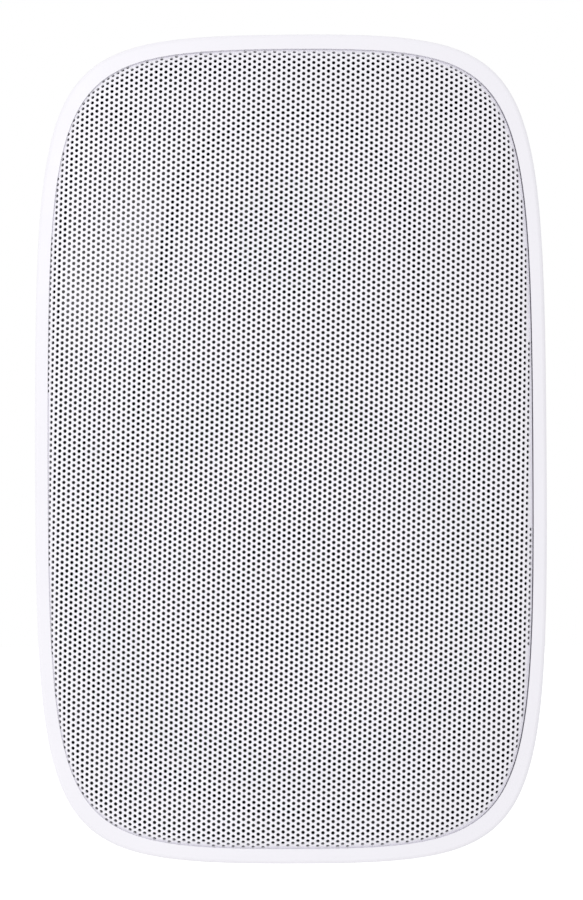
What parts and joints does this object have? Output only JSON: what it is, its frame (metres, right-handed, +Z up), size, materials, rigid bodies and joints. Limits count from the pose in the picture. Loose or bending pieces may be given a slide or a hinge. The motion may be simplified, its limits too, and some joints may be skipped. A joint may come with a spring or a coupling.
{
  "type": "outdoor patio speaker",
  "caption": "White two-way outdoor speaker: barrel-sided moulded cabinet, bowed perforated grille in a plain rim, recessed screw terminals and rear threaded inserts for a wall bracket.",
  "frame": {"origin": "middle of the rear mounting face, between its threaded inserts", "axes": "+Z up, +Y out of the back towards the wall, the grille faces -Y, +X to the right seen from the front"},
  "size_m": [0.18, 0.165, 0.2908],
  "materials": {
    "white_shell": "satin moulded white, fine texture",
    "white_grille": "white powder coat on perforated sheet",
    "black_baffle": "satin black moulding",
    "black_plastic": "satin black",
    "red_plastic": "gloss red",
    "foam_seal": "closed-cell foam",
    "zinc_steel": "zinc plated",
    "black_steel": "black painted pressing",
    "motor_steel": "zinc plated",
    "ferrite": "dark sintered ceramic",
    "rubber_roll": "satin black rubber",
    "cone_plastic": "satin dark grey",
    "soft_dome": "coated cloth",
    "spider_cloth": "resin-dipped cotton",
    "coil_former": "bare foil",
    "copper_wire": "enamelled copper",
    "brass": "turned",
    "board": "green resist",
    "capacitor_sleeve": "shrunk sleeve",
    "resistor_ceramic": "white ceramic",
    "wadding": "polyester wadding"
  },
  "bodies": {
    "speaker": {"cabinet": "white_shell", "grille": "white_grille", "front_baffle": "black_baffle", "terminal_cup": "black_plastic", "tweeter_plate": "black_plastic", "cabinet_gasket": "foam_seal", "woofer_gasket": "foam_seal", "tweeter_gasket": "foam_seal", "terminal_gasket": "foam_seal", "baffle_screws": "zinc_steel", "woofer_screws": "zinc_steel", "tweeter_screws": "zinc_steel", "board_screws": "zinc_steel", "terminal_screws": "zinc_steel", "woofer_basket": "black_steel", "woofer_top_plate": "motor_steel", "woofer_yoke": "motor_steel", "tweeter_top_plate": "motor_steel", "tweeter_yoke": "motor_steel", "woofer_magnet": "ferrite", "tweeter_magnet": "ferrite", "woofer_surround": "rubber_roll", "tweeter_surround": "soft_dome", "woofer_spider": "spider_cloth", "crossover_coils": "copper_wire", "mount_inserts": "brass", "terminal_studs": "brass", "terminal_lock_nuts": "brass", "crossover_board": "board", "woofer_tags": "board", "crossover_capacitors": "capacitor_sleeve", "crossover_resistor": "resistor_ceramic", "wadding": "wadding"},
    "cone": {"woofer_cone": "cone_plastic", "woofer_dust_cap": "cone_plastic", "woofer_coil_former": "coil_former", "woofer_voice_coil": "copper_wire"},
    "dome": {"tweeter_dome": "soft_dome", "tweeter_coil": "copper_wire"},
    "positive_nut": {"positive_thumb_nut": "red_plastic"},
    "negative_nut": {"negative_thumb_nut": "black_plastic"}
  },
  "joints": [
    {"name": "cone_travel", "type": "slide", "parent": "speaker", "child": "cone", "axis": [0, -1, 0], "range_m": [-0.004, 0.004], "stiffness_N_per_m": 1200, "deforming": ["woofer_surround", "woofer_spider"]},
    {"name": "dome_travel", "type": "slide", "parent": "speaker", "child": "dome", "axis": [0, -1, 0], "range_m": [-0.0003, 0.0003], "stiffness_N_per_m": 150, "deforming": ["tweeter_surround"]},
    {"name": "positive_nut_turn", "type": "hinge", "parent": "speaker", "child": "positive_nut", "pos_m": [0.0095, -0.0155, -0.076], "axis": [0, 1, 0], "range_deg": [0, 1080]},
    {"name": "negative_nut_turn", "type": "hinge", "parent": "speaker", "child": "negative_nut", "pos_m": [-0.0095, -0.0155, -0.076], "axis": [0, 1, 0], "range_deg": [0, 1080]}
  ]
}
